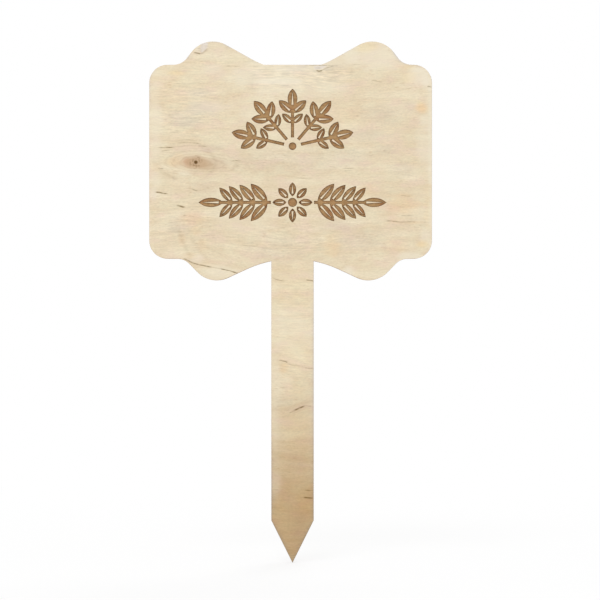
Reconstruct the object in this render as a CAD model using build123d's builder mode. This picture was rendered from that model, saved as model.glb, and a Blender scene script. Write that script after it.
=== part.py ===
"""Plant label stake: a lobed plaque on a pointed stake, cut in one outline from birch plywood.

The board is built up as the real one is: five veneers with a glue film between each two of them,
all cut to the same outline. The front veneer carries an engraved herb tuft over a leafy garland.
Frame: +Z runs up the stake from the tip of its point, the engraved face looks along -Y, and the
middle of the board's thickness is at Y = 0. Lengths are in millimetres, angles in degrees.
"""

import os
from math import cos, radians, sin, tan

from build123d import *

# Stake
stake_length = 174.7  # from the tip to the plaque's straight lower edge
stake_width = 24.3
point_length = 24.3

# Plaque
plaque_width = 162.4
plaque_height = 111.4
plaque_corner_radius = 10.4
plaque_shift = 1.1  # how far the plaque stands to the left of the stake's centreline

# Lobed upper edge: two lobes rise from the plaque with a dip between them
upper_rise = 18.0  # from the plaque's straight edge up to the unrounded top of a lobe
upper_dip = 9.9  # from the same edge down to the unrounded bottom of the dip
upper_lobe_radius = 15.9
upper_dip_radius = 48.2
upper_lobe_share = 0.717  # of half the straight edge, from the centreline to the top of a lobe
upper_foot_share = 0.912  # of half the straight edge, from the centreline to the foot of a lobe

# Lobed lower edge, with the stake in its dip
lower_rise = 15.6
lower_dip = 6.2
lower_lobe_radius = 15.3
lower_dip_radius = 62.6
lower_lobe_share = 0.676
lower_foot_share = 0.892

# Rounding that both edges share
foot_radius = 9.7
foot_reach_share = 0.90  # most of the level straight beside a lobe's foot that its rounding may use up
flank_foot_share = 0.35  # most of a lobe's outer flank that the rounding of its foot may use up
flank_lobe_share = 0.60  # most of the same flank that the rounding of its top may use up
slope_dip_share = 0.70  # most of a lobe's inner slope that the rounding of the dip may use up

# Board: face veneer, glue, crossband, glue, core, glue, crossband, glue, face veneer
face_veneer_thickness = 1.0
crossband_thickness = 1.2
core_thickness = 1.2
glue_line_thickness = 0.1
edge_ease = 0.25  # depth of the worn-off corner round the front and the back face
edge_slope = 45.0  # of that corner

# Engraving
engraving_depth = 0.5
stem_width = 1.8
midrib_width = 1.1  # at its foot, of the wood left standing along the middle of each leaf
midrib_start_share = 0.20  # of the leaf's length
midrib_end_share = 0.85
stem_lap_share = 0.15  # of the end leaf's length that the stem reaches into it
leaf_angle = 48.0  # between a side leaf and its stem

# Herb tuft: stems that fan out round a bud and end on a half ellipse
tuft_width = 72.0
tuft_height = 33.0
tuft_stems = 5
tuft_bud_radius = 2.2
tuft_stem_start = 5.0  # from the middle of the bud
tuft_leaf_length = 11.5
tuft_leaf_width = 5.6
tuft_lowest_angle = 14.0
tuft_place_share = 0.58  # of the plaque's height, from its lower edge to the middle of the bud
# Each pair of side leaves: its place along the stem, and its size beside the leaf at the end
tuft_pair_shares = ((0.50, 0.70), (0.86, 0.92))

# Garland: two level stems beside a rosette
garland_width = 108.0
garland_leaf_length = 14.5
garland_leaf_width = 5.4
garland_place_share = 0.29  # of the plaque's height, from its lower edge to the garland's stems
garland_pair_shares = ((0.07, 1.00), (0.33, 0.94), (0.58, 0.87), (0.81, 0.79))
rosette_petals = 8
rosette_petal_length = 8.0
rosette_petal_width = 4.2
rosette_heart_radius = 2.6
rosette_gap = 0.9  # wood left standing between the heart, the petals and the stems

# Places that follow from the sizes above
plaque_bottom = stake_length
plaque_top = plaque_bottom + plaque_height
plaque_middle = plaque_bottom + plaque_height / 2
half_straight = plaque_width / 2 - plaque_shift - plaque_corner_radius
half_board = face_veneer_thickness + crossband_thickness + 2 * glue_line_thickness + core_thickness / 2
board_back = -half_board
board_front = half_board


def fitting_radius(radius, run_in, run_out, reach):
    """The radius, or the largest one whose rounding takes up no more than this reach of a straight."""
    return min(radius, reach / tan(radians(run_in.get_angle(run_out) / 2)))


def lobed_band(edge, direction, rise, dip, lobe_radius, dip_radius, lobe_share, foot_share):
    """Face of two lobes and the dip between them, on the plaque's upper (1) or lower (-1) edge."""
    shoulder = Vector(half_straight, edge)
    foot = Vector(foot_share * half_straight, edge)
    lobe = Vector(lobe_share * half_straight, edge + direction * rise)
    valley = Vector(0, edge - direction * dip)
    root = Vector(half_straight, plaque_middle)
    left_lobe, left_foot, left_shoulder, left_root = (
        Vector(-point.X, point.Y) for point in (lobe, foot, shoulder, root)
    )
    level = foot - shoulder
    flank = lobe - foot
    slope = valley - lobe
    rounded_foot = fitting_radius(
        foot_radius, level, flank, min(foot_reach_share * level.length, flank_foot_share * flank.length)
    )
    rounded_lobe = fitting_radius(lobe_radius, flank, slope, flank_lobe_share * flank.length)
    rounded_dip = fitting_radius(dip_radius, slope, left_lobe - valley, slope_dip_share * slope.length)
    with BuildSketch() as band:
        with BuildLine():
            crest = FilletPolyline(
                (root, shoulder, foot, lobe, valley, left_lobe, left_foot, left_shoulder, left_root),
                radius=(0, rounded_foot, rounded_lobe, rounded_dip, rounded_lobe, rounded_foot, 0),
            )
            Line(crest @ 1, crest @ 0)
        make_face()
    return band.sketch


def leaf(length, width):
    """Pointed leaf along +X from its base at the origin, with a tapered midrib left out."""
    rib_start = midrib_start_share * length
    rib_end = midrib_end_share * length
    with BuildSketch() as blade:
        with BuildLine():
            ThreePointArc((0, 0), (length / 2, width / 2), (length, 0))
            ThreePointArc((length, 0), (length / 2, -width / 2), (0, 0))
        make_face()
        with BuildLine():
            Polyline((rib_start, midrib_width / 2), (rib_end, 0), (rib_start, -midrib_width / 2), close=True)
        make_face(mode=Mode.SUBTRACT)
    return blade.sketch


def spray(start, length, leaf_length, leaf_width, pair_shares):
    """Stem along +X that begins at start, with pairs of side leaves and one leaf at its end."""
    end_leaf_start = length - leaf_length
    stem_length = end_leaf_start + stem_lap_share * leaf_length - start
    with BuildSketch() as branch:
        with Locations((start + stem_length / 2, 0)):
            Rectangle(stem_length, stem_width)
        for place_share, size_share in pair_shares:
            foot = start + place_share * (end_leaf_start - start)
            with Locations(Location((foot, 0), leaf_angle), Location((foot, 0), -leaf_angle)):
                add(leaf(size_share * leaf_length, size_share * leaf_width))
        with Locations((end_leaf_start, 0)):
            add(leaf(leaf_length, leaf_width))
    return branch.sketch


# Outline of the whole label, the same for every layer of the board
upper_band = lobed_band(
    plaque_top,
    1,
    upper_rise,
    upper_dip,
    upper_lobe_radius,
    upper_dip_radius,
    upper_lobe_share,
    upper_foot_share,
)
lower_band = lobed_band(
    plaque_bottom,
    -1,
    lower_rise,
    lower_dip,
    lower_lobe_radius,
    lower_dip_radius,
    lower_lobe_share,
    lower_foot_share,
)
with BuildSketch() as label_outline:
    with Locations((-plaque_shift, plaque_middle)):
        RectangleRounded(plaque_width, plaque_height, plaque_corner_radius)
    add(upper_band)
    add(lower_band)
    with BuildLine():
        Polyline(
            (0, 0),
            (stake_width / 2, point_length),
            (stake_width / 2, plaque_middle),
            (-stake_width / 2, plaque_middle),
            (-stake_width / 2, point_length),
            close=True,
        )
    make_face()

# Herb tuft
tuft_foot = plaque_bottom + tuft_place_share * plaque_height
stem_turn = (180 - 2 * tuft_lowest_angle) / (tuft_stems - 1)
with BuildSketch() as herb_tuft:
    with Locations((0, tuft_foot)):
        Circle(tuft_bud_radius)
    for stem in range(tuft_stems):
        turn = radians(tuft_lowest_angle + stem * stem_turn)
        tip = Vector(tuft_width / 2 * cos(turn), tuft_height * sin(turn))
        with Locations(Location((0, tuft_foot), Vector(1, 0).get_angle(tip))):
            add(spray(tuft_stem_start, tip.length, tuft_leaf_length, tuft_leaf_width, tuft_pair_shares))

# Garland
garland_level = plaque_bottom + garland_place_share * plaque_height
garland_reach = garland_width / 2
petal_start = rosette_heart_radius + rosette_gap
garland_stem_start = petal_start + rosette_petal_length + rosette_gap
with BuildSketch() as garland:
    with Locations((0, garland_level)):
        Circle(rosette_heart_radius)
        with PolarLocations(petal_start, rosette_petals):
            add(leaf(rosette_petal_length, rosette_petal_width))
        with PolarLocations(0, 2):
            add(
                spray(
                    garland_stem_start,
                    garland_reach,
                    garland_leaf_length,
                    garland_leaf_width,
                    garland_pair_shares,
                )
            )

os.makedirs("parts", exist_ok=True)

# Back face veneer
with BuildPart() as back_face_veneer:
    with BuildSketch(Plane.XZ.offset(board_back + edge_ease)) as back_shoulder:
        add(label_outline.sketch)
    extrude(amount=face_veneer_thickness - edge_ease)
    extrude(back_shoulder.sketch, amount=-edge_ease, taper=edge_slope)
back_face_veneer.part.label = "back_face_veneer"
export_step(back_face_veneer.part, "parts/back_face_veneer.step")

# Inner layers, from the back to the front
inner_layers = {
    "back_outer_glue_line": glue_line_thickness,
    "back_crossband": crossband_thickness,
    "back_inner_glue_line": glue_line_thickness,
    "core_veneer": core_thickness,
    "front_inner_glue_line": glue_line_thickness,
    "front_crossband": crossband_thickness,
    "front_outer_glue_line": glue_line_thickness,
}
layer_back = board_back + face_veneer_thickness
for layer_name, layer_thickness in inner_layers.items():
    with BuildPart() as layer:
        with BuildSketch(Plane.XZ.offset(layer_back)):
            add(label_outline.sketch)
        extrude(amount=layer_thickness)
    layer.part.label = layer_name
    export_step(layer.part, f"parts/{layer_name}.step")
    layer_back += layer_thickness

# Front face veneer, with the engraving cut into it
with BuildPart() as front_face_veneer:
    with BuildSketch(Plane.XZ.offset(board_front - edge_ease)) as front_shoulder:
        add(label_outline.sketch)
    extrude(amount=edge_ease - face_veneer_thickness)
    extrude(front_shoulder.sketch, amount=edge_ease, taper=edge_slope)
    with BuildSketch(Plane.XZ.offset(board_front)):
        add(herb_tuft.sketch)
        add(garland.sketch)
    extrude(amount=-engraving_depth, mode=Mode.SUBTRACT)
front_face_veneer.part.label = "front_face_veneer"
export_step(front_face_veneer.part, "parts/front_face_veneer.step")
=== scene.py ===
"""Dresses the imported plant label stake: sanded birch faces, burnt engraving and laser-cut edges.

The label stands on the tip of its stake at the origin, with +Z up and its engraved face towards -Y.
Lengths are in metres unless a name or a comment says millimetres. A flat place is x and z on the
board, in millimetres. The wood's marks are placed by pixels of the photograph, column then row.
"""

from collections import namedtuple
from math import ceil, cos, exp, floor, pi, radians, sin, sqrt

import bmesh
import bpy
from bpy.props import FloatProperty, FloatVectorProperty, IntProperty, PointerProperty
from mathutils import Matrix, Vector, noise
from mathutils.bvhtree import BVHTree
from mathutils.geometry import delaunay_2d_cdt, intersect_point_line
from mathutils.kdtree import KDTree


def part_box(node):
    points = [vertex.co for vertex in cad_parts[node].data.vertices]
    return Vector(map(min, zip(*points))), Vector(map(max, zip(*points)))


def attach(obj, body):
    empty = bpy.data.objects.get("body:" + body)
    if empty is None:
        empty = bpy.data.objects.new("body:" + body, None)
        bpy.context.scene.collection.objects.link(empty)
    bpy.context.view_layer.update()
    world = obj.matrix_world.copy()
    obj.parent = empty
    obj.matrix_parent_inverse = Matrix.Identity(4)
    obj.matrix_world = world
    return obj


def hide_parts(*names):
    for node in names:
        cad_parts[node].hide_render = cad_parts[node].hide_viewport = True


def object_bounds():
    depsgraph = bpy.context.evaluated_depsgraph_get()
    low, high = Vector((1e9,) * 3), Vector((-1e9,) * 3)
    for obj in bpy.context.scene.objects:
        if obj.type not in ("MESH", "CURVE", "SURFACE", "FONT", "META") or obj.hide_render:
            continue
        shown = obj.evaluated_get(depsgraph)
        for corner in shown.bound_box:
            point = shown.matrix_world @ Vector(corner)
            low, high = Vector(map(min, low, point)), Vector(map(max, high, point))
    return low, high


bl_info = {
    "name": "Plant Label Stake",
    "version": (1, 0, 0),
    "blender": (4, 5, 0),
    "location": "3D View > Sidebar > Label",
    "description": "Builds the visible model of a plywood plant label on its stake",
    "category": "Object",
}

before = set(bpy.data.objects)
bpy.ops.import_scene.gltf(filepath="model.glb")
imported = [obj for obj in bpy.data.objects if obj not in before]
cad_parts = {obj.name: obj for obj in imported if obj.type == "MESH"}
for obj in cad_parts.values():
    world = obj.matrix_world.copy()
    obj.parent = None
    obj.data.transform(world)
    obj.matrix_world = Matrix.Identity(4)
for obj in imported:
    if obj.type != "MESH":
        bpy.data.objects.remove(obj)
cad_low, cad_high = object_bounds()

MM = 0.001
HEIGHT_MARGIN = 0.00001  # how far off a height a packed corner still counts as on it
FRONT = -1
BACK = 1

# Walls of a face veneer as its flat drawing counts them, and the regions that they enclose
OUTLINE_WALL = 1
POCKET_WALL = 2
ON_FACE = OUTLINE_WALL
ON_FLOOR = OUTLINE_WALL | POCKET_WALL

# Flat net of a veneer: its points, its triangles, the places that each point stands for, the walls
# and the region of each triangle
FlatNet = namedtuple("FlatNet", "points triangles sources walls regions")

# Points of a face veneer, in millimetres: the steps along its outline and its engraved walls, the
# rings inside the outline, and how far the other points stay from the outline and the walls
OUTLINE_STEP = 0.9
WALL_STEP = 0.6
RIM_RINGS = (0.55, 0.95)
FEATURE_TO_OUTLINE = 0.45
GRID_TO_OUTLINE = 1.35
GRID_TO_WALL = 0.4
FLOOR_TO_WALL = 0.25
BACK_COARSER = 2  # the plain back needs fewer points
FLAT_MARGIN = 0.001  # how far under the face a point still counts as on it
FLOOR_GRID_FINER = 3  # the rough floor of the engraving needs more points along the grain
FLOOR_LEAST_DROP = 0.4  # how far under the face a point counts as on that floor
GRID_SHAKE = 0.3  # in shares of a step

# Rows of points beside the middle of a check, in shares of its width, and beside the rim of a torn
# patch, in millimetres, with their steps along it, and the rings of points round a knot
CHECK_ROWS = (-1.2, -0.6, -0.25, 0.25, 0.6, 1.2)
CHECK_STEP = 0.7
TEAR_ROWS = (-0.45, -0.15, 0.05, 0.2, 0.4, 0.8)
TEAR_STEP = 0.5
KNOT_RINGS = 10
KNOT_RING_STEP = 0.3
KNOT_TURNS = 16

# Relief, in millimetres, and the share of the stained wood that the sunken heart of a knot takes up
TORN_ROUGHNESS = 0.06
HEART_DEPTH = 0.22
HEART_SHARE = 0.09
WAVE_HEIGHT = 2.4  # of the waves in the run of the grain

# How the marks fade and how ragged they are: a stain in shares of its radii, a check's ends in
# shares of its length, and the rest in millimetres, from the rim of a torn patch, from the walls
# of the engraving and from the outline
STAIN_FADE = (0.35, 1.25)
STAIN_RAGGED = 0.35
CHECK_TAPER = (-0.04, 0.2)
CHECK_GAIN = 1.25  # of a check's darkness along its middle
CHECK_BREAK_LENGTH = 1.3  # of the pieces that a check breaks up into
TORN_FADE = 0.35
TORN_RAGGED = 0.1
FLOOR_FADE = 0.5
SCORCH_AND_SHADE_FADE = (0.1, 1.1)
WALL_REACH = 3.0

# The worn corner: its turns, how many of its rows the face's finish covers, and how much of a check
# or a torn patch runs on over it
CORNER_TURNS = 4
CORNER_FACE_ROWS = 2
CORNER_CARRY = 0.8
CREASE_ANGLE = 38  # degrees

# Material slots of a face veneer, and the stains that colour it
FACE_SLOT = 0
EDGE_SLOT = 1
BURNT_SLOT = 2
STAINS = ("blush", "amber", "mineral", "bleach")

# Ridges on the cut edge: each veneer's seed follows its place in this table of its node, its cut
# edge's material, its slot, and how far the ridges stay clear of the worn corner, on that side
RIDGED_VENEERS = (
    ("front_face_veneer", "front_cut_edge", "face_veneer", 0.00015),
    ("front_crossband", "crossband_cut_edge", "crossband_veneer", 0.0),
    ("core_veneer", "core_cut_edge", "core_veneer", 0.0),
    ("back_crossband", "crossband_cut_edge", "crossband_veneer", 0.0),
    ("back_face_veneer", "back_cut_edge", "face_veneer", -0.00015),
)

# The two soft lights, what they aim at, and the width that the camera's focal length is given for
LAMPS = (("key_light", (-0.35, -1.0, 1.55)), ("back_light", (0.35, 1.0, 1.55)))
LAMP_AIM = Vector((0.0, 0.0, 0.17))
SENSOR_WIDTH = 36.0

# Scale of the photograph: millimetres to a pixel, the stake's centreline and the tip of its point
PIXEL_SIZE = 0.5744
CENTRE_COLUMN = 292.5
TIP_ROW = 562.8

# Marks of the front face, with their places and the radii of stains in pixels of the photograph
FRONT_MARKS = {
    # Dark checks and open grain: the run, then the width and depth in millimetres and the darkness.
    # A check's number seeds its ragged rim, so a new one goes at the end.
    "checks": (
        # Round the knot
        (((178, 142.9), (184, 142.5), (190, 142.6)), 0.36, 0.07, 0.40),
        (((176, 140.3), (188, 140.0), (200, 140.8)), 0.35, 0.06, 0.20),
        (((157, 147.7), (165, 147.5), (176, 147.1)), 0.46, 0.08, 0.50),
        (((175, 146.6), (187, 145.8), (199, 145.9)), 0.35, 0.06, 0.30),
        (((197, 146.0), (202, 146.1), (207, 146.5)), 0.40, 0.08, 0.45),
        (((161, 151.2), (165, 150.6), (170, 149.9)), 0.38, 0.06, 0.42),
        (((232, 160.5), (236, 160.6), (239.5, 161.0)), 0.45, 0.12, 0.60),
        (((233, 166.2), (238.5, 166.3)), 0.30, 0.05, 0.20),
        (((157.5, 168.5), (163.5, 168.7)), 0.45, 0.06, 0.42),
        (((153, 158), (156, 165), (162, 171.5), (170, 176.5), (180, 181)), 1.7, 0.0, 0.16),
        (((160, 173.0), (168, 176), (175, 179.0)), 0.45, 0.05, 0.14),
        (((205, 149), (212, 154), (216, 162), (213, 170), (206, 176)), 1.4, 0.0, 0.13),
        (((168, 158), (172, 154), (180, 151.5), (190, 150.5)), 1.2, 0.0, 0.12),
        (((155, 192.1), (159.5, 192.4), (163, 193.4), (168, 193.8)), 0.58, 0.14, 1.00),
        (((191.5, 188.7), (194, 190.0), (197.5, 190.9)), 0.42, 0.12, 0.55),
        # Left side, below
        (((176.5, 205.2), (180.6, 206.3), (184, 207.4)), 0.74, 0.16, 0.94),
        (((183, 215.4), (184.8, 215.6)), 0.50, 0.12, 0.50),
        (((188, 216.2), (194, 216.8)), 0.40, 0.08, 0.32),
        (((176.5, 231.5), (181, 231.4)), 0.50, 0.08, 0.32),
        (((200, 235.6), (208, 235.9), (216, 235.6)), 0.35, 0.05, 0.22),
        (((225, 237.2), (234, 237.0), (244, 237.4)), 0.35, 0.05, 0.20),
        (((241, 244.7), (247, 245.8), (257, 246.3)), 0.38, 0.07, 0.32),
        # Long crack across the lower left lobe
        (((183.2, 258.4), (188.5, 260.9), (193, 263.1), (200, 265.0)), 0.52, 0.24, 0.98),
        (((198.5, 264.7), (205.5, 266.1), (213, 267.5)), 0.54, 0.30, 0.80),
        (((211, 267.1), (216, 267.9), (222, 269.0)), 0.36, 0.14, 0.32),
        (((219.5, 268.5), (225.5, 270.0), (232, 271.2)), 0.50, 0.20, 0.70),
        # Curved figure above it
        (((177.5, 224), (179, 232), (182.5, 241), (187, 251), (193, 260)), 1.7, 0.0, 0.12),
        (((188, 226), (190.5, 236), (195.5, 246), (202, 254), (211, 261)), 1.6, 0.0, 0.09),
        (((168, 206), (170, 216), (170.5, 226), (173, 238), (178, 249)), 1.9, 0.0, 0.06),
        (((198, 236), (202, 243), (211, 250), (222, 254)), 1.6, 0.0, 0.08),
        # Rim of the chip in the upper left lobe, with a painted shadow line along its step
        (((193.6, 52.4), (197.0, 53.1), (200.8, 53.9)), 0.56, 0.14, 0.90),
        (((200.4, 54.2), (203.4, 52.4), (206.0, 50.2), (208.0, 47.8)), 0.95, 0.08, 0.36),
        (((198.0, 48.2), (198.9, 48.4)), 0.55, 0.06, 0.50),
        (((198.8, 50.6), (199.5, 50.6)), 0.50, 0.05, 0.35),
        # Upper edge and right side
        (((226, 66.2), (232, 66.0), (238, 66.4)), 0.40, 0.05, 0.30),
        (((303, 65.4), (312, 65.6), (319, 65.4)), 0.34, 0.08, 0.32),
        (((317, 65.4), (322, 65.3), (327.7, 65.5)), 0.38, 0.12, 0.42),
        (((327, 65.6), (333, 65.5), (338, 65.2)), 0.34, 0.07, 0.28),
        (((351, 64.5), (361, 64.5)), 0.32, 0.05, 0.22),
        (
            ((314.8, 68.0), (317.6, 67.3), (320.4, 68.0), (317.6, 68.8), (314.8, 68.0)),
            0.34,
            0.05,
            0.24,
        ),
        (((316.0, 70.2), (319.0, 71.3), (322.4, 70.5)), 0.70, 0.20, 1.00),
        (((321.5, 70.4), (327.5, 67.6), (333.5, 66.3)), 0.46, 0.12, 0.42),
        (((371, 79.9), (376.6, 81.0), (381, 82.1)), 0.42, 0.08, 0.36),
        (((427, 86.2), (430, 86.8), (433.5, 87.0)), 0.58, 0.10, 0.70),
        (((329, 166.6), (336, 167.2)), 0.32, 0.06, 0.30),
        (((342.5, 168.2), (352.5, 168.4)), 0.36, 0.08, 0.40),
        (((344, 170.6), (351, 170.5)), 0.30, 0.05, 0.24),
        (((287, 176.4), (296, 177.0)), 0.30, 0.05, 0.24),
        (((296, 177.9), (304, 178.2), (312, 178.2)), 0.32, 0.06, 0.30),
        (((328, 179.4), (341, 178.8)), 0.30, 0.05, 0.22),
        (((400, 195.2), (406, 196.2), (411, 196.2)), 0.38, 0.07, 0.36),
        (((400.5, 215.4), (406, 215.9), (413, 215.4)), 0.38, 0.07, 0.36),
        (((385, 221.0), (391.4, 220.9), (397, 221.8), (400.5, 222.1)), 0.46, 0.14, 0.60),
        (((399, 222.1), (405.7, 222.1), (413, 221.6)), 0.44, 0.06, 0.36),
        (((420, 222.0), (426, 222.4)), 0.32, 0.05, 0.22),
        # Stake
        (((272, 277.6), (276, 279.4), (279.5, 280.5), (284.5, 281.0)), 0.48, 0.12, 0.44),
        (((305.5, 279.8), (309, 280.4), (314.5, 281.0)), 0.52, 0.14, 0.70),
        (((278.5, 360.0), (282, 360.8), (285.9, 361.7), (288, 363.6)), 0.50, 0.14, 0.66),
        (((286.8, 363.2), (292, 365.0), (299.3, 365.9), (305.6, 368.0)), 0.50, 0.06, 0.26),
        (((304, 367.7), (309, 368.3), (313.5, 368.6)), 0.46, 0.12, 0.64),
        (((289, 413.2), (292, 411.8), (295, 410.3)), 0.40, 0.08, 0.34),
        (((293.6, 410.9), (299.5, 408.0), (305.3, 405.8)), 0.72, 0.18, 0.94),
        (((304, 406.0), (308, 405.9), (312.4, 406.4)), 0.40, 0.08, 0.34),
        (((304, 490.2), (308.5, 490.5), (313, 490.7)), 0.46, 0.12, 0.58),
        (((271.5, 489.9), (275, 489.8), (279, 490.0)), 0.38, 0.06, 0.28),
        (((303.5, 497.4), (308, 497.9), (313.5, 498.3)), 0.62, 0.18, 0.86),
        # Darker ends of the checks above the knot and of the long crack
        (((187, 142.6), (194, 142.9), (200, 143.7)), 0.44, 0.12, 0.42),
        (((165.4, 147.4), (169, 147.5), (173, 147.4)), 0.54, 0.16, 0.64),
        (((230, 270.9), (235, 272.6), (240.5, 273.5)), 0.54, 0.22, 0.84),
    ),
    # Knots: the middle, then in millimetres the radii of the stained wood along and across the
    # grain, and how far up and along the grain bends round it
    "knots": (((195.8, 162.3), (9.2, 4.6), (4.6, 17.0)),),
    # Where the grain runs aslant: the middle, the reach in millimetres and the fall to the right
    "slants": (
        ((226, 260), (30, 14), 0.22),
        ((285, 252), (24, 10), 0.12),
        ((292, 281), (20, 8), 0.12),
        ((294, 366), (20, 12), 0.18),
        ((300, 409), (18, 9), -0.32),
        ((206, 196), (18, 8), 0.10),
        ((318, 178), (24, 10), -0.06),
    ),
    # Torn patches: the corners, and the depth in millimetres
    "tears": (
        (
            (
                (199.6, 47.2),
                (203.6, 42.2),
                (208.2, 42.8),
                (207.8, 47.8),
                (204.2, 51.4),
                (201.0, 53.6),
            ),
            0.24,
        ),
        (((313.4, 65.6), (328.5, 65.4), (321.5, 69.4), (314.2, 69.8)), 0.12),
    ),
    # Stains in the wood: the middle and the radii, and the strength
    "blush": (
        ((402, 206), (20, 11), 0.85),
        ((331, 246), (9, 14), 0.75),
        ((421, 243.5), (6, 3.5), 0.45),
        ((421.5, 108.5), (5, 6), 0.45),
        ((411, 222.3), (13, 2.4), 0.80),
        ((402, 196.5), (14, 4), 0.60),
        ((201, 243), (5, 4), 0.55),
        ((196, 230), (7, 5), 0.55),
        ((188, 215), (6, 4), 0.70),
        ((191, 256), (7, 4), 0.50),
        ((181.5, 239), (4, 9), 0.50),
        ((203, 249), (6, 5), 0.35),
        ((156, 167), (6, 5), 0.55),
        ((175, 161.5), (11, 5.5), 0.90),
        ((189.5, 160.3), (2.4, 1.8), 0.90),
        ((179, 156), (6, 4), 0.45),
        ((404, 220), (14, 5), 0.50),
        ((168, 96), (24, 10), 0.35),
        ((350, 116), (26, 12), 0.30),
        ((192, 219), (16, 8), 0.70),
        ((204, 264), (18, 7), 0.20),
        ((367, 191), (12, 8), 0.45),
        ((396, 247), (14, 7), 0.45),
        ((284, 368), (5, 6), 0.80),
        ((282, 410), (7, 7), 0.35),
        ((287, 490), (7, 8), 0.25),
    ),
    "amber": (
        ((421.5, 106.5), (6.5, 7.5), 0.85),
        ((368, 47.5), (13, 5), 0.45),
        ((408, 67), (9, 4.5), 0.40),
        ((409, 77), (9, 6), 0.38),
        ((177, 73), (10, 3.5), 0.60),
        ((168, 78), (17, 9), 0.25),
        ((428, 205), (4, 30), 0.30),
        ((423, 244), (6.5, 4), 0.60),
        ((294, 292), (26, 40), 0.20),
        ((294, 348), (26, 30), 0.22),
        ((296, 432), (15, 60), 0.24),
        ((306, 500), (10, 20), 0.45),
        ((281, 506), (5, 10), 0.20),
    ),
    "mineral": (
        ((302, 66.4), (9, 2.2), 0.85),
        ((326.5, 68.4), (5, 2.6), 0.65),
        ((336, 66.0), (8, 2.0), 0.60),
        ((298, 68), (16, 5), 0.30),
        ((362, 240), (26, 11), 0.50),
        ((409, 107), (9, 7), 0.40),
        ((384, 150), (12, 6), 0.50),
        ((402, 170), (14, 9), 0.45),
        ((186, 121.5), (17, 6), 0.90),
        ((212, 148), (14, 5), 0.55),
        ((222, 162), (16, 6), 0.45),
        ((199, 93), (13, 5), 0.70),
        ((199, 111), (18, 9), 0.55),
        ((177, 116.5), (12, 5), 0.50),
        ((380, 114), (24, 10), 0.55),
        ((367, 135), (22, 7), 0.55),
        ((388, 121), (16, 6), 0.40),
        ((340, 163), (22, 8), 0.30),
        ((346, 156), (28, 9), 0.50),
        ((178, 227), (14, 10), 0.50),
        ((340, 226), (22, 8), 0.50),
        ((409, 220), (10, 5), 0.50),
        ((280, 250), (34, 16), 0.35),
        ((205, 188), (18, 9), 0.30),
        ((290, 161), (78, 15), 0.35),
        ((294, 405), (22, 12), 0.50),
        ((296, 462), (12, 12), 0.40),
        ((306, 492), (8, 10), 0.30),
        ((303, 530), (12, 22), 0.45),
    ),
    "bleach": (
        ((378, 56), (30, 16), 0.85),
        ((352, 57), (14, 12), 1.00),
        ((293, 82), (60, 20), 0.62),
        ((281, 74), (26, 9), 0.80),
        ((276, 81), (34, 5), 1.30),
        ((290, 69), (32, 3.4), 1.10),
        ((300, 64), (64, 11), 0.80),
        ((250, 76), (34, 11), 0.85),
        ((218, 52), (22, 10), 0.35),
        ((214, 70), (12, 6), 0.60),
        ((197.2, 48.8), (3.4, 3.4), 1.00),
        ((204.5, 43.6), (5, 2.6), 1.00),
        ((176, 97), (22, 9), 0.25),
        ((417, 76), (16, 9), 0.90),
        ((426, 79), (7, 9), 1.20),
        ((430, 88), (4, 6), 1.00),
        ((418, 70), (12, 4), 1.20),
        ((424, 121), (6, 7), 0.80),
        ((430.5, 140), (4.5, 62), 0.90),
        ((431, 215), (3.2, 26), 0.70),
        ((205, 107), (26, 7), 0.60),
        ((250, 113), (13, 11), 0.45),
        ((155, 120), (8, 60), 0.55),
        ((155, 179), (7, 9), 0.60),
        ((154, 193), (5, 9), 0.80),
        ((275, 380), (5, 104), 0.35),
        ((275, 484), (6, 20), 0.35),
        ((424, 146), (10, 20), 0.62),
        ((427, 236), (7, 12), 0.70),
        ((411, 257), (14, 7), 0.90),
        ((186, 174), (8, 3), 0.60),
        ((240, 212), (34, 30), 0.30),
        ((292, 330), (24, 34), 0.55),
        ((197, 259), (8, 6), 0.60),
        ((348, 271), (7, 5), 0.90),
        ((162, 76), (12, 7), 0.40),
        ((216, 272), (18, 8), 0.60),
    ),
    # Where the lines of the grain show most, given like the stains
    "figure": (
        ((292, 76), (66, 15), 1.00),
        ((186, 110), (36, 38), 0.30),
        ((184, 226), (34, 34), 0.22),
        ((205, 60), (22, 14), 0.26),
        ((300, 242), (76, 18), 0.25),
        ((292, 330), (24, 70), 0.19),
    ),
    # Where the beam scorched the rim of the face, with painted edge shade, given like the stains
    "scorch_and_shade": (
        ((190, 60), (5, 7), 0.80),
        ((227, 47), (7, 5), 0.70),
        ((397, 58), (10, 14), 0.85),
        ((411, 66), (14, 6), 0.45),
        ((350, 56), (30, 11), 0.25),
        ((213, 43), (18, 8), 0.30),
        ((250, 57), (20, 10), 0.30),
        ((152, 86), (6, 32), 0.30),
        ((312, 420), (8, 170), 0.65),
        ((292, 510), (40, 80), 1.0),
    ),
}

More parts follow.
